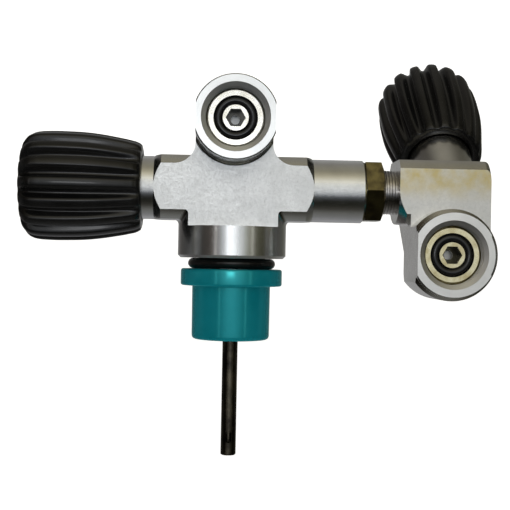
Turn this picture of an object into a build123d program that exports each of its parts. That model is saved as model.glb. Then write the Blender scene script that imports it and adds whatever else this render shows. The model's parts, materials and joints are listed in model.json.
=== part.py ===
"""Modular scuba cylinder valve: a main valve on a neck thread, and a second valve on its right arm.

Millimetres, +Z up. The origin is the centre of the collar's underside, which seats on the cylinder
neck, on the axis of the neck thread. The arm runs along X and both outlets face -Y.
"""
import os
from math import cos, radians, sin, sqrt

from build123d import *

# ---- driving dimensions -------------------------------------------------------------------------
# radial gap between a hole and what sits or turns in it, and how far past a face a cut starts
fit_gap = 0.05
overrun = 1.0

# arm and forged block of the main valve
arm_height = 25.0
arm_radius = 11.4
arm_left, arm_right = -34.0, 47.2
arm_chamfer = 0.6
block_left, block_right = -28.3, 28.5
block_corner_radius = 14.0
flat_offset = 11.4
column_radius = 19.5
ledge_height = 11.3
collar_chamfer = 1.0
corner_fillet = 1.8
socket_relief = 0.4

# outlet boss above the arm
boss_height = 48.2
outlet_face = 25.0
boss_radius = 14.7
boss_flat = 13.7
boss_depth = 37.0
boss_bevel = 0.8
face_bevel = 0.4
boss_fillet = 1.2
web_radius = 7.5
dimple_radius, dimple_depth = 3.2, 2.0
main_feed_radius, main_feed_offset = 1.8, 4.0

# neck thread M25x2, its seal and the way up through it
neck_radius, neck_root, neck_pitch = 12.5, 11.35, 2.0
neck_bottom = -26.5
neck_groove_depth, neck_groove_radius = 3.7, 12.05
neck_thread_lead = 1.3
neck_seal_section, neck_seal_radius, neck_seal_height = 3.7, 13.93, -1.88
neck_bore = 2.5
dip_socket_top = -20.0

# dip tube
dip_radius, dip_inner_radius, dip_bottom = 2.75, 1.75, -71.0
dip_edge = 0.3
dip_slot_height, dip_slot_length, dip_slot_width = 6.5, 4.4, 2.0

# thread cap
cap_top, cap_flange_bottom, cap_bottom = -3.8, -9.9, -29.2
cap_flange_radius, cap_radius, cap_inner_radius = 18.3, 14.1, 12.85
cap_floor = 1.9
cap_hole_radius = 3.15
cap_edge, cap_flange_edge = 1.2, 0.5

# outlet port G5/8 with its insert, as depths from the outlet face
port_mouth_radius, port_major, port_crest = 11.9, 11.45, 10.3
port_mouth_depth, port_pitch, port_depth = 0.85, 1.814, 13.5
insert_depth, insert_rear = 3.6, 12.6
insert_radius, insert_edge = 10.2, 0.8
insert_hex, insert_hex_depth = 6.0, 6.5
insert_bore_radius, insert_bore_depth = 1.6, 10.0
face_groove_inner, face_groove_outer, face_groove_depth = 4.45, 7.65, 2.9
face_seal_section, face_seal_radius, face_seal_depth = 3.1, 6.05, 1.25
rear_seal_section, rear_groove_width, rear_land = 1.6, 2.0, 0.6

# extension tube M16 and its lock nut
tube_radius, tube_root, tube_pitch = 8.0, 7.35, 1.0
tube_nose_radius = 6.5
tube_left, tube_right = 30.6, 66.0
tube_nose_length = 4.0
tube_bore = 2.5
tube_thread_lead = 0.5
tube_groove_land, tube_groove_width = 0.9, 1.9
nut_left, nut_right = 47.35, 54.3
nut_flats, nut_face_radius, nut_chamfer = 21.0, 9.0, 1.3

# second valve
second_x = 78.7
second_left = 59.0
second_corner = 2.0
second_crease = 1.2
second_boss_height = 2.5
second_boss_radius, second_ring_radius, second_ring_depth = 16.0, 14.95, 3.0
second_boss_x = 75.7
second_boss_flat = 12.7
second_boss_depth = 26.0
second_boss_bevel = 1.5
second_ring_step = 1.0
tilt = 48.5
bonnet_boss_radius, bonnet_boss_edge = 11.7, 0.5
spot_face_offset, spot_face_radius, spot_face_depth = 12.8, 17.5, 4.0
second_inlet_radius, second_inlet_offset = 1.2, 6.4
second_feed_radius, second_feed_offset = 1.5, 4.1

# spindle train, as heights along the spindle axis from the seat
seat_to_knob = 19.0
main_seat_x = -32.7 + seat_to_knob
second_seat_offset = 20.5 - seat_to_knob
orifice_radius, lip_radius, lip_height, orifice_length = 2.0, 2.8, 0.8, 4.0
chamber_radius, chamber_top = 6.0, 10.0
bonnet_radius, bonnet_root, bonnet_pitch, bonnet_thread_lead = 9.0, 8.4, 1.5, 1.0
bonnet_face, bonnet_hex_top, bonnet_top = 20.3, 23.3, 25.8
bonnet_bottom_gap = 0.2
bonnet_flats = 18.8
bonnet_neck_radius, bonnet_neck_edge = 6.5, 0.4
bonnet_collar_top, bonnet_collar_radius = 14.2, 6.15
bonnet_seal_section, bonnet_seal_land = 0.7, 0.8
washer_gap = 0.05
carrier_bottom, carrier_top, slot_bottom, slot_gap = 0.8, 8.0, 3.0, 0.4
disc_radius, disc_bottom, disc_top, disc_edge = 4.0, 0.03, 2.0, 0.4
collar_radius, collar_bottom, collar_top = 5.4, 12.2, 13.7
tang_bottom, tang_width, tang_thickness = 6.7, 7.4, 2.0
stem_radius, stem_square, stem_thread, stem_edge = 3.0, 4.2, 2.0, 0.3
stem_square_bottom, stem_thread_bottom, stem_top = 26.4, 43.0, 56.0
stem_seal_heights = (17.0, 20.6)
stem_seal_section, stem_groove_radius, stem_groove_width = 0.85, 2.1, 1.9
tube_seal_section = 1.5

# handwheel, as heights along the spindle axis from the seat
knob_length = 42.4
knob_lobes = 16
lobe_width = 3.8
rib_inner_radius = 12.4
skirt_radius, skirt_top = 12.0, 27.0
core_radius, core_flange_radius = 9.0, 11.5
core_flange_bottom, core_flange_top, core_top = 31.0, 35.0, 50.0
core_well_bottom, core_well_radius = 44.0, 5.0
knob_recess_radius = 5.2
spring_bottom, spring_top, spring_radius, spring_wire, spring_turns = 44.5, 49.5, 3.4, 0.8, 4
washer_bottom, washer_top, washer_radius = 50.0, 51.0, 4.7
knob_nut_gap, knob_nut_height, knob_nut_flats = 0.02, 3.6, 7.0
plug_bottom, plug_depth, plug_radius, plug_edge = 57.0, 0.6, 5.1, 0.3
plug_wall, plug_floor = 0.8, 1.2

# the handwheel's radius over its lobes and in its grooves, by distance from its outer end
knob_crest = (
    (0.0, 14.2),
    (0.9, 16.4),
    (3.8, 19.1),
    (9.0, 19.7),
    (17.0, 19.7),
    (27.4, 18.85),
    (38.3, 16.9),
    (41.3, 15.9),
    (42.4, 14.6),
)
knob_root = (
    (0.0, 13.0),
    (0.9, 14.6),
    (3.8, 16.7),
    (9.0, 17.1),
    (17.0, 17.1),
    (27.4, 16.4),
    (38.3, 14.7),
    (42.4, 13.3),
)

# ---- axes ---------------------------------------------------------------------------------------
# each plane's normal is an axis, and its origin is where heights along that axis are counted from
tilt_direction = Vector(0, sin(radians(tilt)), cos(radians(tilt)))
arm_axis = Plane(origin=(0, 0, arm_height), x_dir=(0, 0, 1), z_dir=(1, 0, 0))
main_outlet = Plane(origin=(0, -outlet_face, boss_height), x_dir=(1, 0, 0), z_dir=(0, 1, 0))
second_outlet = Plane(
    origin=(second_boss_x, -outlet_face, second_boss_height), x_dir=(1, 0, 0), z_dir=(0, 1, 0)
)
main_spindle = Plane(origin=(main_seat_x, 0, arm_height), x_dir=(0, 0, 1), z_dir=(-1, 0, 0))
second_spindle = Plane(
    origin=Vector(second_x, 0, arm_height) + tilt_direction * second_seat_offset,
    x_dir=(1, 0, 0),
    z_dir=tilt_direction,
)


# ---- helpers ------------------------------------------------------------------------------------
def radial_plane(axis, angle=0.0):
    """The plane that holds the axis, with x along the radius and y along the axis."""
    outward = axis.x_dir.rotate(Axis((0, 0, 0), axis.z_dir), angle)
    return Plane(origin=axis.origin, x_dir=outward, z_dir=outward.cross(axis.z_dir))


def turn(axis, outline, mode=Mode.ADD, start=0.0, arc=360.0):
    """Revolve an outline of (radius, height) points about the axis, in the open part."""
    with BuildSketch(radial_plane(axis, start)) as profile:
        with BuildLine():
            Polyline(*outline, close=True)
        make_face()
    revolve(profile.sketch, axis=Axis(axis.origin, axis.z_dir), revolution_arc=arc, mode=mode)


def ring_thread(crest, root, start, end, pitch):
    """Outline points of a ring thread from one height to the other, with 60 degree flanks."""
    step = pitch if end > start else -pitch
    points = []
    for index in range(int(abs(end - start) / pitch)):
        base = start + index * step
        points += [(crest, base), (crest, base + 0.35 * step)]
        points += [(root, base + 0.6 * step), (root, base + 0.75 * step)]
    points.append((crest, points[-4][1] + step))
    return points


def prism(plane, height, shape_function, mode=Mode.ADD):
    """Extrude the sketch that shape_function draws, along the plane's normal, in the open part."""
    with BuildSketch(plane) as profile:
        shape_function()
    extrude(profile.sketch, amount=height, mode=mode)


def hexagon(flats, rotation=0.0):
    """A hexagon by its width across flats."""
    return lambda: RegularPolygon(flats / 2, 6, major_radius=False, rotation=rotation)


def drill(start, end, radius):
    """Drill a straight hole between two points of the open part."""
    run = Vector(*end) - Vector(*start)
    prism(Plane(origin=start, z_dir=run), run.length, lambda: Circle(radius), Mode.SUBTRACT)


def seal_ring(axis, height, mean_radius, section):
    """Add an O-ring about the axis to the open part."""
    with BuildSketch(radial_plane(axis)) as profile:
        with Locations((mean_radius, height)):
            Circle(section / 2)
    revolve(profile.sketch, axis=Axis(axis.origin, axis.z_dir))


def save(part, name):
    """Label a finished piece and write it to its STEP file."""
    part.label = name
    export_step(part, f"parts/{name}.step")


def cut_port(outlet):
    """Cut the threaded outlet port into the open part, from the outlet's face plane inwards."""
    thread = ring_thread(port_crest, port_major, port_mouth_depth, port_depth - overrun, port_pitch)
    outline = [(0, 0), (port_mouth_radius, 0), *thread, (port_crest, port_depth), (0, port_depth)]
    turn(outlet, outline, Mode.SUBTRACT)


def cut_spindle_bore(spindle):
    """Cut the orifice with its seat lip, the carrier's chamber and the bonnet's thread."""
    wall = bonnet_radius + fit_gap
    root = wall + bonnet_radius - bonnet_root
    thread_ends = (chamber_top + bonnet_thread_lead, bonnet_face - bonnet_thread_lead)
    thread = ring_thread(wall, root, *thread_ends, bonnet_pitch)
    outline = [(0, -orifice_length), (orifice_radius, -orifice_length), (orifice_radius, 0)]
    outline += [(lip_radius, 0), (lip_radius, -lip_height), (chamber_radius, -lip_height)]
    outline += [(chamber_radius, chamber_top), (wall, chamber_top), *thread]
    outline += [(wall, bonnet_face + overrun), (0, bonnet_face + overrun)]
    turn(spindle, outline, Mode.SUBTRACT)


def square_bar():
    """The block's section: a turned bar with four milled flats."""
    Circle(block_corner_radius)
    Rectangle(2 * flat_offset, 2 * flat_offset, mode=Mode.INTERSECT)


def cut_turned_end(end, inward, start=0.0, arc=360.0):
    """Turn a block's end down to the arm's radius with a 45 degree cone."""
    reach = block_corner_radius - arm_radius + overrun
    cone = [(arm_radius, end), (arm_radius + reach, end), (arm_radius + reach, end + inward * reach)]
    turn(arm_axis, cone, Mode.SUBTRACT, start, arc)


def cut_dimple(outlet, depth):
    """Cut the small cone in the middle of an outlet boss's rear face."""
    rear = outlet.offset(depth)
    turn(rear, [(0, 0), (dimple_radius, 0), (0, -dimple_depth)], Mode.SUBTRACT)


# ---- bodies -------------------------------------------------------------------------------------
def make_main_body():
    """The forged main body with its neck spigot, arm, outlet boss and passages."""
    with BuildPart() as main_body:
        # outlet boss, with a flat down each side
        turn(
            main_outlet,
            [
                (0, 0),
                (boss_radius - face_bevel, 0),
                (boss_radius, face_bevel),
                (boss_radius, boss_depth - boss_bevel),
                (boss_radius - boss_bevel, boss_depth),
                (0, boss_depth),
            ],
        )
        with BuildSketch(main_outlet) as side_slabs:
            with Locations((boss_flat + boss_radius / 2, 0), (-boss_flat - boss_radius / 2, 0)):
                Rectangle(boss_radius, 3 * boss_radius)
        extrude(side_slabs.sketch, amount=boss_depth, mode=Mode.SUBTRACT)

        # block and turned arm
        prism(arm_axis.offset(block_left), block_right - block_left, square_bar)
        cut_turned_end(block_left, 1)
        cut_turned_end(block_right, -1)
        turn(
            arm_axis,
            [
                (0, arm_left),
                (arm_radius, arm_left),
                (arm_radius, arm_right - arm_chamfer),
                (arm_radius - arm_chamfer, arm_right),
                (0, arm_right),
            ],
        )

        # round column over the neck, milled flat in front and behind above its ledge
        prism(Plane.XY, ledge_height, lambda: Circle(column_radius))
        bevel = [(column_radius - collar_chamfer, 0), (column_radius + overrun, 0)]
        bevel += [(column_radius + overrun, collar_chamfer + overrun)]
        turn(Plane.XY, bevel, Mode.SUBTRACT)

        def milled_column():
            Circle(column_radius)
            Rectangle(2 * column_radius, 2 * flat_offset, mode=Mode.INTERSECT)

        prism(Plane.XY.offset(ledge_height), arm_height - ledge_height, milled_column)

        # neck between the arm and the outlet boss, with a concave web each side
        prism(
            Plane.XY.offset(arm_height),
            boss_height - arm_height,
            lambda: Rectangle(2 * boss_flat, 2 * flat_offset),
        )
        foot = arm_height + sqrt(block_corner_radius**2 - flat_offset**2)
        for side in (-1, 1):
            inner, outer = side * boss_flat, side * (boss_flat + web_radius)
            with BuildSketch(Plane.XZ.offset(-flat_offset)) as web:
                with BuildLine():
                    Polyline(
                        (inner, foot + web_radius), (inner, arm_height), (outer, arm_height), (outer, foot)
                    )
                    RadiusArc((outer, foot), (inner, foot + web_radius), side * web_radius)
                make_face()
            extrude(web.sketch, amount=2 * flat_offset)

        # forging radii under the arm, round the outlet boss and above the ledge
        arm_foot = arm_height - flat_offset
        creases = main_body.edges().filter_by_position(
            Axis.Z, arm_height - block_corner_radius, arm_foot + 2 * corner_fillet
        )
        curved = creases.filter_by(GeomType.LINE, reverse=True)
        beside_column = 2 * corner_fillet
        fillet(
            [edge for edge in curved if abs(abs(edge.center().X) - column_radius) < beside_column],
            corner_fillet,
        )
        front = main_body.edges().filter_by(GeomType.CIRCLE).filter_by_position(
            Axis.Y, -flat_offset - 0.01, -flat_offset + 0.01
        )
        fillet(front.sort_by(SortBy.LENGTH)[-1], boss_fillet)

        # neck spigot
        thread_ends = (-neck_groove_depth - neck_thread_lead, neck_bottom + neck_thread_lead)
        thread = ring_thread(neck_radius, neck_root, *thread_ends, neck_pitch)
        turn(
            Plane.XY,
            [
                (0, overrun),
                (neck_groove_radius, overrun),
                (neck_groove_radius, -neck_groove_depth),
                (neck_radius, -neck_groove_depth),
                *thread,
                (neck_root, neck_bottom),
                (0, neck_bottom),
            ],
        )

        # ports, bores and passages
        cut_port(main_outlet)
        cut_spindle_bore(main_spindle)
        neck_entry = (0, 0, neck_bottom - overrun)
        drill(neck_entry, (0, 0, arm_height), neck_bore)
        drill(neck_entry, (0, 0, dip_socket_top), dip_radius + fit_gap)
        arm_entry = (arm_right + overrun, 0, arm_height)
        nose_end = tube_left - socket_relief
        drill((main_seat_x + overrun, 0, arm_height), arm_entry, orifice_radius)
        drill((nose_end, 0, arm_height), arm_entry, tube_nose_radius + fit_gap)
        drill((nose_end + tube_nose_length, 0, arm_height), arm_entry, tube_radius + fit_gap)
        feed_start = (-main_feed_offset, port_depth - outlet_face, boss_height - main_feed_offset)
        feed_end = (main_seat_x - chamber_radius, 0, arm_height + main_feed_offset)
        drill(feed_start, feed_end, main_feed_radius)
        cut_dimple(main_outlet, boss_depth)
    save(main_body.part, "main_body")


def make_second_body():
    """The second valve's block body with its outlet, bonnet boss and passages."""
    with BuildPart() as second_body:
        # outlet boss: a ring with two flats, then a wider body with one
        turn(
            second_outlet,
            [
                (0, 0),
                (second_ring_radius - face_bevel, 0),
                (second_ring_radius, face_bevel),
                (second_ring_radius, second_ring_depth),
                (second_boss_radius, second_ring_depth + second_ring_step),
                (second_boss_radius, second_boss_depth - second_boss_bevel),
                (second_boss_radius - second_boss_bevel, second_boss_depth),
                (0, second_boss_depth),
            ],
        )
        slab = second_boss_radius
        for side, length in ((-1, second_boss_depth), (1, second_ring_depth)):
            with BuildSketch(second_outlet) as side_slab:
                with Locations((side * (second_boss_flat + slab / 2), 0)):
                    Rectangle(slab, 3 * slab)
            extrude(side_slab.sketch, amount=length, mode=Mode.SUBTRACT)

        # block with its lower left end turned down, and the web to the outlet boss with a
        # 45 degree slope behind
        web_left = second_boss_x - second_boss_flat
        web_right = second_boss_x + second_boss_radius
        prism(arm_axis.offset(second_left), web_right - second_left, square_bar)
        cut_turned_end(second_left, 1, start=90, arc=180)
        block_foot = arm_height - flat_offset
        slope_foot = second_boss_depth - outlet_face
        with BuildSketch(Plane.YZ.offset(web_left)) as web:
            with BuildLine():
                Polyline(
                    (-flat_offset, second_boss_height),
                    (-flat_offset, arm_height),
                    (flat_offset, arm_height),
                    (flat_offset, block_foot),
                    (slope_foot, block_foot - flat_offset + slope_foot),
                    (slope_foot, second_boss_height),
                    close=True,
                )
            make_face()
        extrude(web.sketch, amount=web_right - web_left)
        right_end = second_body.edges().filter_by_position(Axis.X, web_right - 0.01, web_right + 0.01)
        fillet(right_end.group_by(Axis.Z)[-1] + right_end.group_by(Axis.Z)[-2], second_corner)
        crease = second_body.edges().filter_by_position(Axis.X, web_left - 0.01, web_left + 0.01)
        fillet(crease.filter_by(Axis.Y).sort_by_distance((web_left, 0, block_foot))[0], second_crease)

        # bonnet boss, with the block's edge faced back around it
        turn(
            second_spindle,
            [
                (0, 0),
                (bonnet_boss_radius, 0),
                (bonnet_boss_radius, bonnet_face - bonnet_boss_edge),
                (bonnet_boss_radius - bonnet_boss_edge, bonnet_face),
                (0, bonnet_face),
            ],
        )
        spot_face = spot_face_offset - second_seat_offset
        turn(
            second_spindle,
            [
                (bonnet_boss_radius, spot_face),
                (spot_face_radius, spot_face),
                (spot_face_radius, spot_face + spot_face_depth),
                (bonnet_boss_radius, spot_face + spot_face_depth),
            ],
            Mode.SUBTRACT,
        )

        # ports, bores and passages
        cut_port(second_outlet)
        cut_spindle_bore(second_spindle)
        block_entry = (second_left - overrun, 0, arm_height)
        nose_end = tube_right + socket_relief
        socket_end = nose_end - tube_nose_length
        drill(block_entry, (nose_end, 0, arm_height), tube_nose_radius + fit_gap)
        drill(block_entry, (socket_end, 0, arm_height), tube_radius + fit_gap)
        inlet_start = Vector(socket_end, 0, arm_height) - tilt_direction * second_inlet_offset
        inlet_end = second_spindle.origin - tilt_direction * (orifice_length - overrun)
        drill(inlet_start, inlet_end, second_inlet_radius)
        feed_start = (second_boss_x + second_feed_offset, port_depth - outlet_face, second_boss_height)
        feed_end = second_spindle.origin + tilt_direction + second_spindle.y_dir * second_feed_offset
        drill(feed_start, feed_end, second_feed_radius)
        cut_dimple(second_outlet, second_boss_depth)
    save(second_body.part, "second_body")


# ---- neck pieces --------------------------------------------------------------------------------
def make_neck_pieces():
    """The neck seal, the dip tube and the cap over the neck thread."""
    with BuildPart() as neck_oring:
        seal_ring(Plane.XY, neck_seal_height, neck_seal_radius, neck_seal_section)
    save(neck_oring.part, "neck_oring")

    with BuildPart() as dip_tube:
        turn(
            Plane.XY,
            [
                (dip_inner_radius, dip_socket_top),
                (dip_radius, dip_socket_top),
                (dip_radius, dip_bottom + dip_edge),
                (dip_radius - dip_edge, dip_bottom),
                (dip_inner_radius, dip_bottom),
            ],
        )
        with BuildSketch(Plane.XZ) as side_slot:
            with Locations((0, dip_bottom + dip_slot_height)):
                SlotOverall(dip_slot_length, dip_slot_width, rotation=90)
        extrude(side_slot.sketch, amount=dip_radius + overrun, mode=Mode.SUBTRACT)
    save(dip_tube.part, "dip_tube")

    with BuildPart() as thread_cap:
        turn(
            Plane.XY,
            [
                (cap_inner_radius + cap_flange_edge, cap_top),
                (cap_flange_radius - cap_flange_edge, cap_top),
                (cap_flange_radius, cap_top - cap_flange_edge),
                (cap_flange_radius, cap_flange_bottom + cap_flange_edge),
                (cap_flange_radius - cap_flange_edge, cap_flange_bottom),
                (cap_radius, cap_flange_bottom),
                (cap_radius, cap_bottom + cap_edge),
                (cap_radius - cap_edge, cap_bottom),
                (cap_hole_radius, cap_bottom),
                (cap_hole_radius, cap_bottom + cap_floor),
                (cap_inner_radius, cap_bottom + cap_floor),
                (cap_inner_radius, cap_top - cap_flange_edge),
            ],
        )
    save(thread_cap.part, "thread_cap")


# ---- extension ----------------------------------------------------------------------------------
def make_extension():
    """The threaded tube between the valves, its seals and its lock nut."""
    nose_ends = (tube_left + tube_nose_length, tube_right - tube_nose_length)
    thread_ends = (nose_ends[0] + tube_thread_lead, nose_ends[1] - tube_thread_lead)
    groove_middles = (
        tube_left + tube_groove_land + tube_groove_width / 2,
        tube_right - tube_groove_land - tube_groove_width / 2,
    )
    groove_floor = tube_nose_radius - tube_seal_section - fit_gap
    with BuildPart() as extension_tube:
        thread = ring_thread(tube_radius, tube_root, *thread_ends, tube_pitch)
        outline = [(tube_bore, tube_left), (tube_nose_radius, tube_left)]
        outline += [(tube_nose_radius, nose_ends[0]), *thread, (tube_nose_radius, nose_ends[1])]
        outline += [(tube_nose_radius, tube_right), (tube_bore, tube_right)]
        turn(arm_axis, outline)
        for middle in groove_middles:
            low, high = middle - tube_groove_width / 2, middle + tube_groove_width / 2
            outer = tube_nose_radius + overrun
            groove = [(groove_floor, low), (outer, low), (outer, high), (groove_floor, high)]
            turn(arm_axis, groove, Mode.SUBTRACT)
    save(extension_tube.part, "extension_tube")

    with BuildPart() as extension_orings:
        for middle in groove_middles:
            seal_ring(arm_axis, middle, tube_nose_radius - tube_seal_section / 2, tube_seal_section)
    save(extension_orings.part, "extension_orings")

    with BuildPart() as lock_nut:
        prism(arm_axis.offset(nut_left), nut_right - nut_left, hexagon(nut_flats, rotation=30))
        corner = nut_flats / 2 / cos(radians(30))
        turn(
            arm_axis,
            [
                (nut_face_radius, nut_right),
                (corner + overrun, nut_right),
                (corner + overrun, nut_right - nut_chamfer - overrun),
                (corner, nut_right - nut_chamfer),
            ],
            Mode.SUBTRACT,
        )
        bore_ends = ((nut_left - overrun, 0, arm_height), (nut_right + overrun, 0, arm_height))
        drill(*bore_ends, tube_radius + fit_gap)
    save(lock_nut.part, "lock_nut")


# ---- outlet insert ------------------------------------------------------------------------------
def make_insert(prefix, outlet):
    """The hexagon-socket insert in an outlet port, with its face seal and rear seal."""
    rear_groove_end = insert_rear - rear_land
    rear_groove_start = rear_groove_end - rear_groove_width
    with BuildPart() as outlet_insert:
        turn(
            outlet,
            [
                (0, insert_depth),
                (insert_radius - insert_edge, insert_depth),
                (insert_radius, insert_depth + insert_edge),
                (insert_radius, insert_rear),
                (0, insert_rear),
            ],
        )
        turn(
            outlet,
            [
                (face_groove_inner, insert_depth - overrun),
                (face_groove_outer, insert_depth - overrun),
                (face_groove_outer, insert_depth + face_groove_depth),
                (face_groove_inner, insert_depth + face_groove_depth),
            ],
            Mode.SUBTRACT,
        )
        face = outlet.offset(insert_depth)
        prism(face, insert_hex_depth, hexagon(insert_hex), Mode.SUBTRACT)
        prism(face, insert_bore_depth, lambda: Circle(insert_bore_radius), Mode.SUBTRACT)
        turn(
            outlet,
            [
                (insert_radius - rear_seal_section, rear_groove_start),
                (insert_radius + overrun, rear_groove_start),
                (insert_radius + overrun, rear_groove_end),
                (insert_radius - rear_seal_section, rear_groove_end),
            ],
            Mode.SUBTRACT,
        )
    save(outlet_insert.part, f"{prefix}_outlet_insert")

    with BuildPart() as insert_face_oring:
        seal_ring(outlet, insert_depth + face_seal_depth, face_seal_radius, face_seal_section)
    save(insert_face_oring.part, f"{prefix}_insert_face_oring")

    with BuildPart() as insert_rear_oring:
        rear_seal_radius = insert_radius - rear_seal_section / 2
        rear_groove_middle = (rear_groove_start + rear_groove_end) / 2
        seal_ring(outlet, rear_groove_middle, rear_seal_radius, rear_seal_section)
    save(insert_rear_oring.part, f"{prefix}_insert_rear_oring")


# ---- spindle train ------------------------------------------------------------------------------
def make_bonnet(prefix, spindle):
    """The screwed bonnet, its seal and the thrust washer under its collar seat."""
    thread_ends = (chamber_top + bonnet_thread_lead, bonnet_face - bonnet_thread_lead)
    stem_hole = stem_radius + fit_gap
    with BuildPart() as bonnet:
        thread = ring_thread(bonnet_radius, bonnet_root, *thread_ends, bonnet_pitch)
        turn(
            spindle,
            [
                (0, chamber_top + bonnet_bottom_gap),
                (bonnet_root, chamber_top + bonnet_bottom_gap),
                *thread,
                (bonnet_radius - bonnet_seal_land, bonnet_face - bonnet_seal_land),
                (bonnet_radius - bonnet_seal_land, bonnet_face),
                (bonnet_neck_radius, bonnet_face),
                (bonnet_neck_radius, bonnet_top - bonnet_neck_edge),
                (bonnet_neck_radius - bonnet_neck_edge, bonnet_top),
                (0, bonnet_top),
            ],
        )
        prism(spindle.offset(bonnet_face), bonnet_hex_top - bonnet_face, hexagon(bonnet_flats))
        turn(
            spindle,
            [
                (0, 0),
                (bonnet_collar_radius, 0),
                (bonnet_collar_radius, bonnet_collar_top),
                (stem_hole, bonnet_collar_top),
                (stem_hole, bonnet_top + overrun),
                (0, bonnet_top + overrun),
            ],
            Mode.SUBTRACT,
        )
    save(bonnet.part, f"{prefix}_bonnet")

    with BuildPart() as bonnet_oring:
        below_face = bonnet_seal_section / 2
        seal_ring(spindle, bonnet_face - below_face, bonnet_radius - below_face, bonnet_seal_section)
    save(bonnet_oring.part, f"{prefix}_bonnet_oring")

    with BuildPart() as thrust_washer:
        low, high = collar_top + washer_gap, bonnet_collar_top - washer_gap
        turn(
            spindle,
            [(stem_hole, low), (collar_radius, low), (collar_radius, high), (stem_hole, high)],
        )
    save(thrust_washer.part, f"{prefix}_thrust_washer")


def make_stem(prefix, spindle):
    """The upper spindle, its two seals, and the lower spindle with its seat disc."""
    with BuildPart() as stem:
        shaft = [(0, collar_bottom), (collar_radius, collar_bottom), (collar_radius, collar_top)]
        shaft += [(stem_radius, collar_top)]
        for height in stem_seal_heights:
            low, high = height - stem_groove_width / 2, height + stem_groove_width / 2
            shaft += [(stem_radius, low), (stem_groove_radius, low)]
            shaft += [(stem_groove_radius, high), (stem_radius, high)]
        shaft += [(stem_radius, stem_square_bottom), (stem_thread, stem_square_bottom)]
        shaft += [(stem_thread, stem_top - stem_edge), (stem_thread - stem_edge, stem_top)]
        shaft += [(0, stem_top)]
        turn(spindle, shaft)
        prism(
            spindle.offset(stem_square_bottom),
            stem_thread_bottom - stem_square_bottom,
            lambda: Rectangle(stem_square, stem_square),
        )
        prism(
            spindle.offset(tang_bottom),
            collar_bottom - tang_bottom,
            lambda: Rectangle(tang_width, tang_thickness),
        )
    save(stem.part, f"{prefix}_stem")

    with BuildPart() as stem_orings:
        for height in stem_seal_heights:
            middle_radius = (stem_radius + stem_groove_radius) / 2
            seal_ring(spindle, height, middle_radius, stem_seal_section)
    save(stem_orings.part, f"{prefix}_stem_orings")

    carrier_radius = chamber_radius - fit_gap
    with BuildPart() as seat_carrier:
        turn(
            spindle,
            [
                (disc_radius, carrier_bottom),
                (carrier_radius, carrier_bottom),
                (carrier_radius, carrier_top),
                (0, carrier_top),
                (0, disc_top),
                (disc_radius, disc_top),
            ],
        )
        prism(
            spindle.offset(slot_bottom),
            carrier_top - slot_bottom,
            lambda: Rectangle(tang_width + slot_gap, tang_thickness + slot_gap),
            Mode.SUBTRACT,
        )
    save(seat_carrier.part, f"{prefix}_seat_carrier")

    with BuildPart() as seat_disc:
        turn(
            spindle,
            [
                (0, disc_bottom),
                (disc_radius - disc_edge, disc_bottom),
                (disc_radius - fit_gap, disc_edge),
                (disc_radius - fit_gap, disc_top),
                (0, disc_top),
            ],
        )
    save(seat_disc.part, f"{prefix}_seat_disc")


# ---- handwheel ----------------------------------------------------------------------------------
def knob_side(table):
    """A handwheel table's (radius, height) points, from the outer end to the inner one."""
    outer_end = seat_to_knob + knob_length
    return [(radius, outer_end - distance) for distance, radius in table]


def make_grip(prefix, spindle):
    """The lobed rubber handwheel: a solid of revolution with a rib along it for each lobe."""
    outer_end = seat_to_knob + knob_length
    with BuildPart() as knob_grip:
        side = knob_side(knob_root)
        with BuildSketch(radial_plane(spindle)) as root_profile:
            with BuildLine():
                Spline(*side)
                Polyline(side[-1], (0, seat_to_knob), (0, outer_end), side[0])
            make_face()
        revolve(root_profile.sketch, axis=Axis(spindle.origin, spindle.z_dir))
        crest = knob_side(knob_crest)
        for index in range(knob_lobes):
            with BuildSketch(radial_plane(spindle, index * 360 / knob_lobes)) as rib:
                with BuildLine():
                    Spline(*crest)
                    Polyline(
                        crest[-1],
                        (rib_inner_radius, seat_to_knob),
                        (rib_inner_radius, outer_end),
                        crest[0],
                    )
                make_face()
            extrude(rib.sketch, amount=lobe_width / 2, both=True)
        turn(
            spindle,
            [
                (0, seat_to_knob - overrun),
                (skirt_radius, seat_to_knob - overrun),
                (skirt_radius, skirt_top),
                (core_radius, skirt_top),
                (core_radius, core_flange_bottom),
                (core_flange_radius, core_flange_bottom),
                (core_flange_radius, core_flange_top),
                (core_radius, core_flange_top),
                (core_radius, core_top),
                (knob_recess_radius, core_top),
                (knob_recess_radius, outer_end + overrun),
                (0, outer_end + overrun),
            ],
            Mode.SUBTRACT,
        )
    save(knob_grip.part, f"{prefix}_knob_grip")


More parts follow.
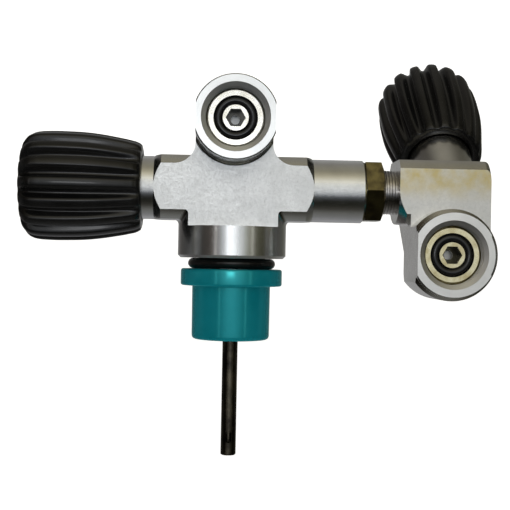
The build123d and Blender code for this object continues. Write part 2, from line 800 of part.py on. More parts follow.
def make_handwheel(prefix, spindle):
    """The handwheel's hub and grip, the spring, washer and nut that hold it, and its end plug."""
    with BuildPart() as knob_core:
        turn(
            spindle,
            [
                (0, skirt_top),
                (core_radius, skirt_top),
                (core_radius, core_flange_bottom),
                (core_flange_radius, core_flange_bottom),
                (core_flange_radius, core_flange_top),
                (core_radius, core_flange_top),
                (core_radius, core_top),
                (core_well_radius, core_top),
                (core_well_radius, core_well_bottom),
                (0, core_well_bottom),
            ],
        )
        square = stem_square + 2 * fit_gap
        prism(
            spindle.offset(skirt_top),
            core_well_bottom - skirt_top,
            lambda: Rectangle(square, square),
            Mode.SUBTRACT,
        )
    save(knob_core.part, f"{prefix}_knob_core")

    make_grip(prefix, spindle)

    with BuildPart() as knob_spring:
        with BuildLine():
            Helix(
                pitch=(spring_top - spring_bottom) / spring_turns,
                height=spring_top - spring_bottom,
                radius=spring_radius,
                center=spindle.origin + spindle.z_dir * spring_bottom,
                direction=spindle.z_dir,
            )
        coil = knob_spring.pending_edges[0]
        with BuildSketch(Plane(origin=coil @ 0, z_dir=coil % 0)):
            Circle(spring_wire / 2)
        sweep(is_frenet=True)
    save(knob_spring.part, f"{prefix}_knob_spring")

    bore = stem_thread + fit_gap
    with BuildPart() as knob_washer:
        turn(
            spindle,
            [
                (bore, washer_bottom),
                (washer_radius, washer_bottom),
                (washer_radius, washer_top),
                (bore, washer_top),
            ],
        )
    save(knob_washer.part, f"{prefix}_knob_washer")

    with BuildPart() as knob_nut:
        seat = spindle.offset(washer_top + knob_nut_gap)
        prism(seat, knob_nut_height, hexagon(knob_nut_flats))
        prism(seat, knob_nut_height, lambda: Circle(bore), Mode.SUBTRACT)
    save(knob_nut.part, f"{prefix}_knob_nut")

    face = seat_to_knob + knob_length - plug_depth
    with BuildPart() as knob_plug:
        turn(
            spindle,
            [
                (0, face - plug_floor),
                (plug_radius - plug_wall, face - plug_floor),
                (plug_radius - plug_wall, plug_bottom),
                (plug_radius, plug_bottom),
                (plug_radius, face - plug_edge),
                (plug_radius - plug_edge, face),
                (0, face),
            ],
        )
    save(knob_plug.part, f"{prefix}_knob_plug")


os.makedirs("parts", exist_ok=True)
make_main_body()
make_second_body()
make_neck_pieces()
make_extension()
for prefix, outlet, spindle in (
    ("main", main_outlet, main_spindle),
    ("second", second_outlet, second_spindle),
):
    make_insert(prefix, outlet)
    make_bonnet(prefix, spindle)
    make_stem(prefix, spindle)
    make_handwheel(prefix, spindle)
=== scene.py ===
"""Looks of the twin-outlet scuba cylinder valve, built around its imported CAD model. Metres, +Z up."""
import math

import bmesh
import bpy
import numpy as np
from mathutils import Matrix, Vector
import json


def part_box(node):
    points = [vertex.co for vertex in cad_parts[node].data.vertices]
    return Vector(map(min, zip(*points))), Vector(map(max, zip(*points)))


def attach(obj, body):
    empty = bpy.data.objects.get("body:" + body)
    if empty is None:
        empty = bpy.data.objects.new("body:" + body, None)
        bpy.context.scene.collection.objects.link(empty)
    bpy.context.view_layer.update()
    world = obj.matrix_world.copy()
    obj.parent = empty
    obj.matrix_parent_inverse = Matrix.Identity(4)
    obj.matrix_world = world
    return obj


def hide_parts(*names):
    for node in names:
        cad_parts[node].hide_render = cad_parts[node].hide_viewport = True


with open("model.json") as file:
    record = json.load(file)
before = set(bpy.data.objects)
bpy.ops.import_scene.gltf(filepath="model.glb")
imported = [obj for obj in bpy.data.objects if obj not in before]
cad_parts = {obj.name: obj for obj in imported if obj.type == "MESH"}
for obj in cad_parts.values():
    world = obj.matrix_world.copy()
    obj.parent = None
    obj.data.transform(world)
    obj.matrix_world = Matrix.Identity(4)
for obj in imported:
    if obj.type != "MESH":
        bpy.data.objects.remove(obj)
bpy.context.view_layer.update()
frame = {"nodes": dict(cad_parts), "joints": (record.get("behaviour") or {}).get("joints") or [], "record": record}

MM = 0.001
# the Y of the flat milled on the front of both bodies, and the radius of their outlets
MILLED_FACE = -11.4 * MM
PORT_RADIUS = 12.0 * MM
JOINTS = {joint["name"]: joint for joint in frame["joints"]}


# ---- geometry helpers ---------------------------------------------------------------------------
class Spindle:
    """An axis with an origin: heights run along it, radii across it."""

    def __init__(self, origin, axis):
        self.origin = Vector(origin)
        self.axis = Vector(axis).normalized()
        self.side = Vector((0, 0, 1)) if abs(self.axis.x) > 0.5 else Vector((1, 0, 0))
        self.other = self.axis.cross(self.side)

    def point(self, radius, height, angle):
        """The point at a radius and height in metres, and at an angle in radians."""
        outward = self.side * math.cos(angle) + self.other * math.sin(angle)
        return self.origin + outward * radius + self.axis * height


def rounded(outline, radii, steps=5):
    """A closed (radius, height) outline with its corners rounded, one radius for each corner."""
    points = []
    count = len(outline)
    for index, corner in enumerate(outline):
        here = Vector(corner)
        before = Vector(outline[index - 1]) - here
        after = Vector(outline[(index + 1) % count]) - here
        turn = before.angle(after)
        reach = radii[index] / math.tan(turn / 2) if radii[index] > 0 else 0
        if reach <= 0 or turn > math.radians(175):
            points.append(here)
            continue
        reach = min(reach, 0.48 * before.length, 0.48 * after.length)
        start = here + before.normalized() * reach
        end = here + after.normalized() * reach
        for step in range(steps + 1):
            part = step / steps
            points.append(start.lerp(here, part).lerp(here.lerp(end, part), part))
    return points


def skin(name, rings, material):
    """A closed, smooth-shaded mesh through rings of points; the last ring joins the first."""
    mesh = bpy.data.meshes.new(name)
    count = len(rings[0])
    vertices = [point for ring in rings for point in ring]
    faces = []
    for row in range(len(rings)):
        below = row * count
        above = (row + 1) % len(rings) * count
        for column in range(count):
            beside = (column + 1) % count
            faces.append((below + column, below + beside, above + beside, above + column))
    mesh.from_pydata(vertices, [], faces)
    mesh.materials.append(material)
    piece = bpy.data.objects.new(name, mesh)
    bpy.context.scene.collection.objects.link(piece)
    work = bmesh.new()
    work.from_mesh(mesh)
    bmesh.ops.recalc_face_normals(work, faces=work.faces)
    work.to_mesh(mesh)
    work.free()
    for polygon in mesh.polygons:
        polygon.use_smooth = True
    return piece


def lathe(name, spindle, outline, material, segments):
    """A solid of revolution of a closed (radius, height) outline."""
    angles = [2 * math.pi * index / segments for index in range(segments)]
    rings = [[spindle.point(radius, height, angle) for angle in angles] for radius, height in outline]
    return skin(name, rings, material)


def place(piece, body, slot, *nodes):
    """Ride the piece on its body, in place of the named CAD nodes; the slot argument is not used."""
    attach(piece, body)
    if nodes:
        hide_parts(*nodes)


# ---- material helpers ---------------------------------------------------------------------------
class Shader:
    """A Principled material with its node tree, and short calls to add nodes to it."""

    def __init__(self, name, **settings):
        self.material = bpy.data.materials.new(name)
        self.material.use_nodes = True
        self.tree = self.material.node_tree
        self.surface = self.tree.nodes["Principled BSDF"]
        for socket, value in settings.items():
            self.surface.inputs[socket.replace("_", " ")].default_value = value
        self.coordinates = self.tree.nodes.new("ShaderNodeTexCoord").outputs["Object"]

    def link(self, source, target):
        self.tree.links.new(source, target)

    def node(self, kind, inputs=(), **properties):
        """Add a node, set its properties, and set or link its inputs by index or name."""
        added = self.tree.nodes.new(kind)
        for key, value in properties.items():
            setattr(added, key, value)
        for key, value in dict(inputs).items():
            if isinstance(value, bpy.types.NodeSocket):
                self.link(value, added.inputs[key])
            else:
                added.inputs[key].default_value = value
        return added

    def noise(self, scale, detail=3.0, roughness=0.55, coordinates=None):
        """Noise at a number of cells per metre, from 0 to 1."""
        inputs = {
            "Vector": coordinates or self.coordinates,
            "Scale": scale,
            "Detail": detail,
            "Roughness": roughness,
        }
        return self.node("ShaderNodeTexNoise", inputs).outputs["Fac"]

    def math(self, operation, first, second=0.0):
        return self.node("ShaderNodeMath", {0: first, 1: second}, operation=operation).outputs[0]

    def remap(self, value, low, high, to_low, to_high, smooth=False):
        """Map a value's range to another, clamped."""
        kind = "SMOOTHSTEP" if smooth else "LINEAR"
        inputs = {0: value, 1: low, 2: high, 3: to_low, 4: to_high}
        return self.node("ShaderNodeMapRange", inputs, interpolation_type=kind).outputs[0]

    def mix(self, factor, first, second):
        """Mix two colours by a factor."""
        node = self.node("ShaderNodeMix", {0: factor}, data_type="RGBA")
        for socket, value in ((node.inputs[6], first), (node.inputs[7], second)):
            if isinstance(value, bpy.types.NodeSocket):
                self.link(value, socket)
            else:
                socket.default_value = (*value, 1.0)
        return node.outputs[2]

    def bump(self, height, distance, strength, normal=None):
        """A bump of a height from 0 to 1, over a distance in metres."""
        inputs = {"Height": height, "Distance": distance, "Strength": strength}
        if normal is not None:
            inputs["Normal"] = normal
        return self.node("ShaderNodeBump", inputs).outputs["Normal"]

    def set(self, socket, value):
        self.link(value, self.surface.inputs[socket])


# ---- materials ----------------------------------------------------------------------------------
def plated_metal(name, tint, port, warm=None, warm_heights=None):
    """Nickel-chrome plate: blasted on the milled flat, satin in the port, polished elsewhere."""
    shader = Shader(name, Metallic=1.0)
    axes = shader.node("ShaderNodeSeparateXYZ", {0: shader.coordinates}).outputs
    normal = shader.node("ShaderNodeTexCoord").outputs["Normal"]
    facing = shader.node("ShaderNodeSeparateXYZ", {0: normal}).outputs[1]
    # 1 on surfaces that face the front, and on the milled flat alone
    forward = shader.remap(facing, -0.999, -0.97, 1.0, 0.0)
    distance = shader.math("ABSOLUTE", shader.math("SUBTRACT", axes[1], MILLED_FACE))
    on_flat = shader.remap(distance, 0.2 * MM, 0.6 * MM, 1.0, 0.0)
    milled = shader.math("MULTIPLY", forward, on_flat)
    # the least roughness of each kind of surface
    faced = shader.math("MULTIPLY", forward, 0.3)
    offset = shader.node(
        "ShaderNodeVectorMath", {0: shader.coordinates, 1: tuple(port.origin)}, operation="SUBTRACT"
    ).outputs[0]
    across = shader.node("ShaderNodeVectorMath", {0: offset, 1: (1, 0, 1)}, operation="MULTIPLY").outputs[0]
    radius = shader.node("ShaderNodeVectorMath", {0: across}, operation="LENGTH").outputs["Value"]
    in_port = shader.remap(radius, PORT_RADIUS - 0.1 * MM, PORT_RADIUS + 0.1 * MM, 0.5, 0.0)

    grain = shader.noise(2600, 4.0)
    blotch = shader.noise(90, 4.0)
    scratches = shader.noise(420, 6.0, 0.7)
    satin = shader.remap(grain, 0.3, 0.7, 0.34, 0.5)
    polish = shader.remap(scratches, 0.3, 0.75, 0.15, 0.27)
    roughness = shader.node("ShaderNodeMix", {0: milled, 2: polish, 3: satin}, data_type="FLOAT")
    rough = shader.math("MAXIMUM", roughness.outputs[0], faced)
    shader.set("Roughness", shader.math("MAXIMUM", rough, in_port))

    dull = [channel * 0.86 for channel in tint]
    colour = shader.mix(shader.remap(blotch, 0.35, 0.7, 0.0, 1.0), dull, tint)
    mottle = shader.remap(shader.noise(900, 3.0), 0.42, 0.66, 0.0, 0.4)
    darker = [channel * 0.75 for channel in tint]
    colour = shader.mix(shader.math("MULTIPLY", mottle, milled), colour, darker)
    if warm:
        height = shader.remap(axes[2], *warm_heights, 0.0, 1.0, smooth=True)
        patch = shader.remap(shader.noise(170, 5.0), 0.35, 0.62, 0.35, 1.0)
        amount = shader.math("MULTIPLY", shader.math("MULTIPLY", height, patch), milled)
        colour = shader.mix(amount, colour, warm)
    speckle = shader.remap(grain, 0.58, 0.74, 0.0, 0.3)
    darkest = [channel * 0.6 for channel in tint]
    colour = shader.mix(shader.math("MULTIPLY", speckle, milled), colour, darkest)
    shader.set("Base Color", colour)

    blasted = shader.math("MULTIPLY", grain, milled)
    relief = shader.bump(blasted, 0.03 * MM, 0.5)
    shader.set("Normal", shader.bump(scratches, 0.012 * MM, 0.25, relief))
    return shader.material


def turned_metal(name, tint, dark, spindle, shaded_below=None):
    """Lathe-turned metal: fine rings about its axis, stain in patches, and painted shade deep in a socket,
    darkening the colour below a depth.
    """
    shader = Shader(name, Metallic=1.0)
    offset = shader.node(
        "ShaderNodeVectorMath",
        {0: shader.coordinates, 1: tuple(spindle.origin)},
        operation="SUBTRACT",
    ).outputs[0]
    along = shader.node(
        "ShaderNodeVectorMath", {0: offset, 1: tuple(spindle.axis)}, operation="DOT_PRODUCT"
    ).outputs["Value"]
    across = shader.node("ShaderNodeVectorMath", {0: offset}, operation="LENGTH").outputs["Value"]
    position = shader.math("ADD", along, across)
    rings = shader.node(
        "ShaderNodeTexNoise",
        {"W": shader.math("MULTIPLY", position, 9000.0), "Scale": 1.0, "Detail": 2.0},
        noise_dimensions="1D",
    ).outputs["Fac"]
    stain = shader.noise(260, 5.0)
    shader.set("Roughness", shader.remap(rings, 0.3, 0.7, 0.12, 0.24))
    colour = shader.mix(shader.remap(stain, 0.38, 0.7, 0.0, 1.0), tint, dark)
    if shaded_below:
        # painted shade: the colour goes near black deeper in the socket, standing in for the shade in the hex
        # recess
        painted_shade = shader.remap(along, shaded_below - 0.8 * MM, shaded_below, 1.0, 0.0)
        colour = shader.mix(painted_shade, colour, [channel * 0.06 for channel in tint])
    shader.set("Base Color", colour)
    shader.set("Normal", shader.bump(rings, 0.008 * MM, 0.5))
    return shader.material


def moulded_rubber(name, colour):
    """Black moulded rubber with a satin skin and faint bloom."""
    shader = Shader(name, Specular_IOR_Level=0.5)
    skin_grain = shader.noise(3200, 3.0)
    bloom = shader.noise(60, 4.0)
    shader.set("Roughness", shader.remap(bloom, 0.3, 0.7, 0.1, 0.22))
    grey = [channel * 1.8 + 0.001 for channel in colour]
    shader.set("Base Color", shader.mix(shader.remap(bloom, 0.4, 0.75, 0.0, 1.0), colour, grey))
    shader.set("Normal", shader.bump(skin_grain, 0.01 * MM, 0.3))
    return shader.material


def moulded_plastic(name, colour, roughness, waviness=0.04 * MM, gloss=0.5, sheen=(1, 1, 1), ior=1.5):
    """Moulded plastic with a slight swirl in its colour and a faintly wavy skin."""
    shader = Shader(name, Specular_IOR_Level=gloss, Specular_Tint=(*sheen, 1.0), IOR=ior)
    swirl = shader.noise(70, 5.0, 0.6)
    fine = shader.noise(1500, 3.0)
    shader.set("Roughness", shader.remap(fine, 0.3, 0.7, *roughness))
    lighter = [min(1.0, channel * 1.25 + 0.004) for channel in colour]
    shader.set("Base Color", shader.mix(shader.remap(swirl, 0.3, 0.7, 0.0, 1.0), colour, lighter))
    waves = shader.bump(swirl, waviness, 0.5)
    shader.set("Normal", shader.bump(fine, 0.01 * MM, 0.4, waves))
    return shader.material


def tube_metal(name, tint, dark):
    """Drawn tube: streaks along Z and dark tarnish."""
    shader = Shader(name, Metallic=1.0)
    stretched = shader.node(
        "ShaderNodeMapping", {"Vector": shader.coordinates, "Scale": (1.0, 1.0, 0.06)}
    ).outputs[0]
    streaks = shader.noise(1400, 4.0, coordinates=stretched)
    stain = shader.noise(220, 5.0)
    shader.set("Base Color", shader.mix(shader.remap(stain, 0.35, 0.65, 0.0, 1.0), tint, dark))
    shader.set("Roughness", shader.remap(streaks, 0.3, 0.7, 0.18, 0.34))
    shader.set("Normal", shader.bump(streaks, 0.01 * MM, 0.5))
    return shader.material


# ---- materials on the CAD nodes -----------------------------------------------------------------
def spindle_of(joint):
    return Spindle(JOINTS[joint]["pos_m"], JOINTS[joint]["axis"])


MAIN_SPINDLE = spindle_of("main_handwheel_turn")
SECOND_SPINDLE = spindle_of("second_handwheel_turn")
ARM = spindle_of("second_valve_swivel")
NECK = Spindle((0, 0, 0), (0, 0, 1))


def outlet_axis(prefix):
    """The outlet's axis, from its mount in the record."""
    for mount in frame["record"]["mounts"]:
        if mount["name"] == f"outlet_{prefix}":
            return Spindle(mount["pos_m"], mount["axis"])
    return NECK


def dress(node, material):
    """Give a CAD node its finished material."""
    slots = frame["nodes"][node].data.materials
    slots.clear()
    slots.append(material)


main_plate = plated_metal("main_plate", (0.88, 0.89, 0.89), outlet_axis("main"))
second_plate = plated_metal(
    "second_plate",
    (0.84, 0.83, 0.8),
    outlet_axis("second"),
    warm=(0.68, 0.57, 0.29),
    warm_heights=(0.02, 0.03),
)
rubber = moulded_rubber("seal_rubber", (0.003, 0.003, 0.003))
grip_rubber = moulded_rubber("grip_rubber", (0.003, 0.003, 0.003))
hub_plastic = moulded_plastic("hub_plastic", (0.012, 0.012, 0.013), (0.35, 0.5))
seat_plastic = moulded_plastic("seat_plastic", (0.75, 0.73, 0.66), (0.4, 0.5))
cap_plastic = moulded_plastic(
    "cap_plastic",
    (0.0002, 0.108, 0.133),
    (0.14, 0.2),
    waviness=0.01 * MM,
    gloss=1.0,
    sheen=(0.15, 1.0, 1.0),
    ior=1.95,
)
nut_brass = turned_metal("nut_brass", (0.36, 0.31, 0.15), (0.12, 0.1, 0.06), ARM)
tube_plate = turned_metal("tube_plate", (0.7, 0.68, 0.66), (0.4, 0.38, 0.36), ARM)
dip_steel = tube_metal("dip_steel", (0.16, 0.14, 0.1), (0.04, 0.035, 0.03))
spring_steel = tube_metal("spring_steel", (0.55, 0.55, 0.56), (0.35, 0.35, 0.36))

# how deep below the outlet's mouth each insert's painted shade begins
SOCKET_MOUTH = 4.5 * MM

dress("main_body", main_plate)
dress("second_body", second_plate)
dress("neck_oring", rubber)
dress("dip_tube", dip_steel)
dress("extension_tube", tube_plate)
dress("extension_orings", rubber)
dress("lock_nut", nut_brass)
dress("thread_cap", cap_plastic)
for prefix, spindle, insert_tint, insert_dark in (
    ("main", MAIN_SPINDLE, (0.88, 0.86, 0.8), (0.7, 0.67, 0.58)),
    ("second", SECOND_SPINDLE, (0.8, 0.74, 0.5), (0.5, 0.42, 0.22)),
):
    brass = turned_metal(f"{prefix}_stem_brass", (0.75, 0.6, 0.3), (0.5, 0.4, 0.2), spindle)
    plate = turned_metal(f"{prefix}_bonnet_plate", (0.75, 0.75, 0.73), (0.5, 0.5, 0.48), spindle)
    insert = turned_metal(
        f"{prefix}_insert_metal", insert_tint, insert_dark, outlet_axis(prefix), shaded_below=-SOCKET_MOUTH
    )
    for part, material in {
        "bonnet": plate,
        "bonnet_oring": rubber,
        "thrust_washer": seat_plastic,
        "outlet_insert": insert,
        "insert_face_oring": rubber,
        "insert_rear_oring": rubber,
        "stem": brass,
        "stem_orings": rubber,
        "knob_core": hub_plastic,
        "knob_grip": grip_rubber,
        "knob_spring": spring_steel,
        "knob_washer": spring_steel,
        "knob_nut": spring_steel,
        "knob_plug": hub_plastic,
        "seat_carrier": brass,
        "seat_disc": seat_plastic,
    }.items():
        dress(f"{prefix}_{part}", material)


# ---- handwheels ---------------------------------------------------------------------------------
KNOB_INNER_END = 19.0 * MM
GRIP_LOW, GRIP_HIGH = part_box("main_knob_grip")
KNOB_LENGTH = GRIP_HIGH[0] - GRIP_LOW[0]
KNOB_LOBES = 16
SAMPLES_PER_LOBE = 20
SAMPLES_ALONG = 84
# shares of the way from a lobe's crest to a groove's bottom, where the lobe ends and the groove begins
LOBE_EDGE, GROOVE_EDGE = 0.34, 0.9
LOBE_CROWN = 0.04
# distance from the outer end, radius over the lobes, depth of the grooves
KNOB_TABLE = MM * np.array(
    [
        (0.0, 14.1, 1.0),
        (0.3, 15.3, 1.5),
        (0.9, 16.4, 2.1),
        (2.0, 17.8, 2.7),
        (3.8, 18.9, 3.0),
        (6.0, 19.4, 3.1),
        (9.0, 19.6, 3.0),
        (17.0, 19.6, 2.9),
        (22.0, 19.4, 2.8),
        (27.4, 18.85, 2.6),
        (33.0, 17.95, 2.2),
        (38.3, 16.9, 1.6),
        (40.5, 16.3, 1.1),
        (41.6, 15.7, 0.7),
        (42.2, 15.0, 0.4),
        (42.4, 14.2, 0.2),
    ]
)
# the inside of the handwheel as radius and height: its rim, hollow skirt and end recess
KNOB_INSIDE = (
    (13.6, 19.0), (12.6, 19.05), (12.15, 19.3), (12.05, 19.8), (12.0, 26.4), (11.6, 26.9),
    (9.1, 27.0), (9.1, 50.0), (5.2, 50.0), (5.2, 60.6), (5.35, 61.0), (5.8, 61.3), (8.0, 61.4),
)


def smooth_table(positions, values, samples):
    """Values between a table's rows, on a curve with no kinks."""
    slopes = np.gradient(values, positions)
    index = np.clip(np.searchsorted(positions, samples) - 1, 0, len(positions) - 2)
    width = positions[index + 1] - positions[index]
    part = (samples - positions[index]) / width
    rise = values[index + 1] - values[index]
    ease = part * part * (3 - 2 * part)
    start = slopes[index] * width * part * (1 - part) ** 2
    end = slopes[index + 1] * width * part * part * (part - 1)
    return values[index] + rise * ease + start + end


def groove_share(angle):
    """0 on a lobe's crest and 1 at the bottom of a groove."""
    phase = angle * KNOB_LOBES / (2 * math.pi) % 1.0
    from_crest = 1 - abs(phase - 0.5) * 2
    part = min(max((from_crest - LOBE_EDGE) / (GROOVE_EDGE - LOBE_EDGE), 0.0), 1.0)
    crown = LOBE_CROWN * min(from_crest / LOBE_EDGE, 1.0) ** 2
    return crown + (1 - crown) * part * part * (3 - 2 * part)


def make_grip(prefix, spindle):
    """The lobed rubber handwheel, hollow at its inner end and recessed at its outer end."""
    outer_end = KNOB_INNER_END + KNOB_LENGTH
    table_distance, table_radius, table_depth = KNOB_TABLE.T
    distances = KNOB_LENGTH * (1 - np.cos(np.linspace(0, math.pi, SAMPLES_ALONG))) / 2
    radii = smooth_table(table_distance, table_radius, distances)
    depths = smooth_table(table_distance, table_depth, distances)
    outline = list(zip(radii, outer_end - distances, depths))
    outline += [(radius * MM, height * MM, 0.0) for radius, height in KNOB_INSIDE]
    samples = KNOB_LOBES * SAMPLES_PER_LOBE
    angles = [2 * math.pi * index / samples for index in range(samples)]
    shares = [groove_share(angle) for angle in angles]
    rings = [
        [spindle.point(radius - depth * share, height, angle) for angle, share in zip(angles, shares)]
        for radius, height, depth in outline
    ]
    grip = skin(f"{prefix}_grip", rings, grip_rubber)
    place(grip, f"{prefix}_handwheel", "grip_rubber", f"{prefix}_knob_grip")


make_grip("main", MAIN_SPINDLE)
make_grip("second", SECOND_SPINDLE)


# ---- thread cap ---------------------------------------------------------------------------------
def make_thread_cap():
    """The plastic cap over the neck thread, with moulded edges."""
    outline = [
        (13.4, -3.8), (18.3, -3.8), (18.3, -9.9), (14.1, -9.9), (14.0, -29.2),
        (3.15, -29.2), (3.15, -27.3), (12.85, -27.3), (12.85, -4.4),
    ]
    radii = [0.3, 0.9, 0.9, 0.5, 1.6, 0.3, 0.2, 0.6, 0.3]
    outline = rounded([(r * MM, z * MM) for r, z in outline], [r * MM for r in radii])
    cap = lathe("moulded_cap", NECK, outline, cap_plastic, 160)
    place(cap, "thread_cap", "cap_plastic", "thread_cap")


make_thread_cap()


# ---- camera, light and stage --------------------------------------------------------------------
CAMERA_PLACE = Vector((-0.00855, -0.380, -0.00017))
CAMERA_YAW, CAMERA_PITCH, CAMERA_ROLL = (math.radians(angle) for angle in (-2.56, 0.23, -1.08))
CAMERA_LENS = 74.0
LIGHT_TARGET = Vector((0.01, 0.0, 0.02))
LIGHT_DISTANCE = 1.2
FLOOR_GAP = 0.01
STAGE_GLOW = 0.86
CAP_TRAVEL = JOINTS["thread_cap_off"]["range_m"][1]


def make_camera():
    """The camera at the photograph's viewing angle."""
    data = bpy.data.cameras.new("camera")
    data.lens = CAMERA_LENS
    data.sensor_width = 36.0
    data.clip_start = 0.01
    camera = bpy.data.objects.new("camera", data)
    bpy.context.scene.collection.objects.link(camera)
    look = (
        Matrix.Rotation(CAMERA_YAW, 3, "Z")
        @ Matrix.Rotation(CAMERA_PITCH, 3, "X")
        @ Matrix.Rotation(CAMERA_ROLL, 3, "Y")
        @ Matrix.Rotation(math.radians(90), 3, "X")
    )
    camera.matrix_world = Matrix.Translation(CAMERA_PLACE) @ look.to_4x4()
    bpy.context.scene.camera = camera


def make_world():
    """A studio seen in the reflections: bright ahead and just above, dark below, grey behind.

    The stops of both ramps follow brightness and colour read from the photograph's reflections.
    That is an open fault: stops of the studio's own should replace them.
    """
    world = bpy.data.worlds.new("studio")
    bpy.context.scene.world = world
    world.use_nodes = True
    tree = world.node_tree
    link = tree.links.new
    direction = tree.nodes.new("ShaderNodeTexCoord").outputs["Generated"]
    axes = tree.nodes.new("ShaderNodeSeparateXYZ")
    link(direction, axes.inputs[0])

    def value(operation, first, second):
        node = tree.nodes.new("ShaderNodeMath")
        node.operation = operation
        for socket, given in zip(node.inputs, (first, second)):
            if isinstance(given, bpy.types.NodeSocket):
                link(given, socket)
            else:
                socket.default_value = given
        return node.outputs[0]

    def ramp(position, stops):
        node = tree.nodes.new("ShaderNodeValToRGB")
        elements = node.color_ramp.elements
        while len(elements) < len(stops):
            elements.new(0.5)
        for element, (place_at, colour) in zip(elements, stops):
            element.position = place_at
            element.color = (*colour, 1.0)
        link(position, node.inputs[0])
        return node.outputs[0]

    # the angle up from the front, -180 to 180 degrees, as 0 to 1
    rise = value("ARCTAN2", axes.outputs[2], value("MULTIPLY", axes.outputs[1], -1.0))
    turn = value("ADD", value("DIVIDE", rise, 2 * math.pi), 0.5)
    upright = ramp(
        turn,
        [
            ((angle + 180) / 360, colour)
            for angle, colour in (
                (-180, (0.34, 0.34, 0.34)),
                (-144, (0.32, 0.32, 0.33)),
                (-113, (0.2, 0.2, 0.2)),
                (-90, (0.14, 0.14, 0.13)),
                (-72, (0.05, 0.047, 0.04)),
                (-55, (0.018, 0.018, 0.014)),
                (-40, (0.015, 0.015, 0.012)),
                (-26, (0.05, 0.052, 0.055)),
                (-12, (0.34, 0.36, 0.39)),
                (0, (0.86, 0.89, 0.93)),
                (12, (0.98, 1.0, 1.0)),
                (26, (0.98, 0.96, 0.86)),
                (44, (0.66, 0.61, 0.47)),
                (59, (0.4, 0.365, 0.26)),
                (75, (0.26, 0.24, 0.18)),
                (93, (0.24, 0.225, 0.18)),
                (114, (0.22, 0.21, 0.19)),
                (144, (0.32, 0.32, 0.31)),
                (180, (0.34, 0.34, 0.34)),
            )
        ],
    )
    sideways = ramp(
        value("ADD", value("MULTIPLY", axes.outputs[0], 0.5), 0.5),
        [
            ((lateral + 1) / 2, colour)
            for lateral, colour in (
                (-1.0, (0.2, 0.2, 0.2)),
                (-0.92, (0.05, 0.045, 0.04)),
                (-0.7, (0.08, 0.065, 0.055)),
                (-0.64, (0.14, 0.12, 0.11)),
                (-0.52, (0.22, 0.205, 0.19)),
                (-0.36, (0.6, 0.6, 0.59)),
                (-0.17, (0.93, 0.93, 0.93)),
                (-0.08, (1.0, 1.0, 1.0)),
                (0.08, (1.0, 1.0, 1.0)),
                (0.18, (0.93, 0.93, 0.93)),
                (0.38, (0.62, 0.62, 0.58)),
                (0.56, (0.28, 0.27, 0.21)),
                (0.66, (0.18, 0.175, 0.12)),
                (0.73, (0.12, 0.115, 0.08)),
                (0.94, (0.06, 0.055, 0.035)),
                (1.0, (0.2, 0.2, 0.2)),
            )
        ],
    )
    # the narrowing is weaker behind the object
    front = tree.nodes.new("ShaderNodeMapRange")
    link(axes.outputs[1], front.inputs[0])
    for index, setting in enumerate((-0.2, 0.1, 1.0, 0.86)):
        front.inputs[index + 1].default_value = setting
    mixed = tree.nodes.new("ShaderNodeMix")
    mixed.data_type = "RGBA"
    mixed.blend_type = "MULTIPLY"
    link(front.outputs[0], mixed.inputs[0])
    link(upright, mixed.inputs[6])
    link(sideways, mixed.inputs[7])
    background = tree.nodes["Background"]
    link(mixed.outputs[2], background.inputs["Color"])
    background.inputs["Strength"].default_value = 1.0


def add_area_light(name, azimuth, elevation, size, radiance, colour):
    """A studio light on a sphere round the object: azimuth 0 is in front, positive to the right."""
    data = bpy.data.lights.new(name, "AREA")
    data.shape = "RECTANGLE"
    data.size, data.size_y = size
    data.energy = radiance * math.pi * size[0] * size[1]
    data.color = colour
    light = bpy.data.objects.new(name, data)
    bpy.context.scene.collection.objects.link(light)
    azimuth, elevation = math.radians(azimuth), math.radians(elevation)
    flat = math.cos(elevation)
    direction = Vector((flat * math.sin(azimuth), -flat * math.cos(azimuth), math.sin(elevation)))
    light.location = LIGHT_TARGET + direction * LIGHT_DISTANCE
    light.rotation_euler = direction.to_track_quat("Z", "Y").to_euler()
    light.visible_camera = False
    return light


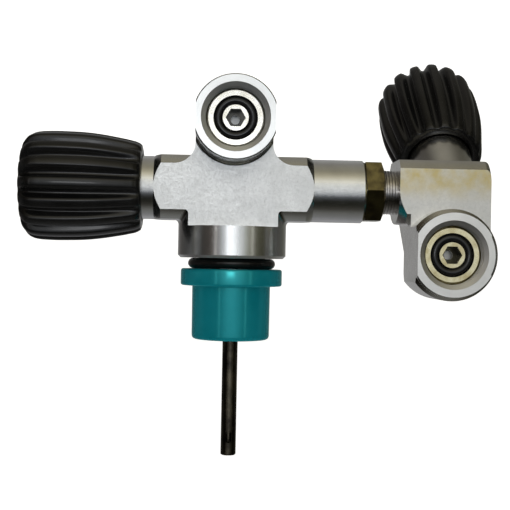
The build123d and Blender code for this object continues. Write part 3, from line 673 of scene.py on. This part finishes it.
def make_lights():
    """A key light by the camera, a tall strip each side, and a fill that shows in no reflection."""
    add_area_light("key", -3, 3.0, (0.36, 0.15), 2.6, (0.96, 0.98, 1.0))
    add_area_light("left_strip", -36, 5, (0.06, 0.9), 0.7, (1.0, 0.97, 0.93))
    add_area_light("right_strip", 42, 5, (0.06, 0.9), 0.7, (1.0, 0.98, 0.92))
    fill = add_area_light("fill", -5, 8, (1.0, 1.0), 2.2, (1.0, 1.0, 1.0))
    fill.visible_glossy = False


def add_stage(name, low, section):
    """A white ring of floor or wall, swept round the object from (radius, height) points."""
    count = 96
    vertices = []
    for radius, height in section:
        for index in range(count):
            angle = 2 * math.pi * index / count
            vertices.append((radius * math.cos(angle), radius * math.sin(angle), low + height))
    faces = []
    for row in range(len(section) - 1):
        for column in range(count):
            beside = (column + 1) % count
            lower, upper = row * count, (row + 1) * count
            faces.append((lower + column, lower + beside, upper + beside, upper + column))
    mesh = bpy.data.meshes.new(name)
    mesh.from_pydata(vertices, [], faces)
    for polygon in mesh.polygons:
        polygon.use_smooth = True
    shader = Shader(f"{name}_white", Roughness=0.9, Base_Color=(0.9, 0.9, 0.9, 1.0))
    shader.surface.inputs["Emission Color"].default_value = (1.0, 1.0, 1.0, 1.0)
    shader.surface.inputs["Emission Strength"].default_value = STAGE_GLOW
    mesh.materials.append(shader.material)
    piece = bpy.data.objects.new(name, mesh)
    bpy.context.scene.collection.objects.link(piece)
    piece.visible_glossy = False
    return piece


def make_stage():
    """A pale floor below the cap's travel, and a pale wall round it that the light passes through."""
    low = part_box("thread_cap")[0][2] - CAP_TRAVEL - FLOOR_GAP
    edge, curve, top = 1.8, 0.8, 3.0
    add_stage("floor", low, [(0.0005, 0.0), (edge, 0.0)])
    section = [(edge, 0.0)]
    steps = 12
    for step in range(1, steps + 1):
        angle = math.radians(90) * step / steps
        section.append((edge + curve * math.sin(angle), curve - curve * math.cos(angle)))
    section.append((edge + curve, top))
    wall = add_stage("wall", low, section)
    wall.visible_diffuse = False
    wall.visible_shadow = False


make_camera()
make_world()
make_lights()
make_stage()
bpy.context.scene.view_settings.view_transform = "Standard"
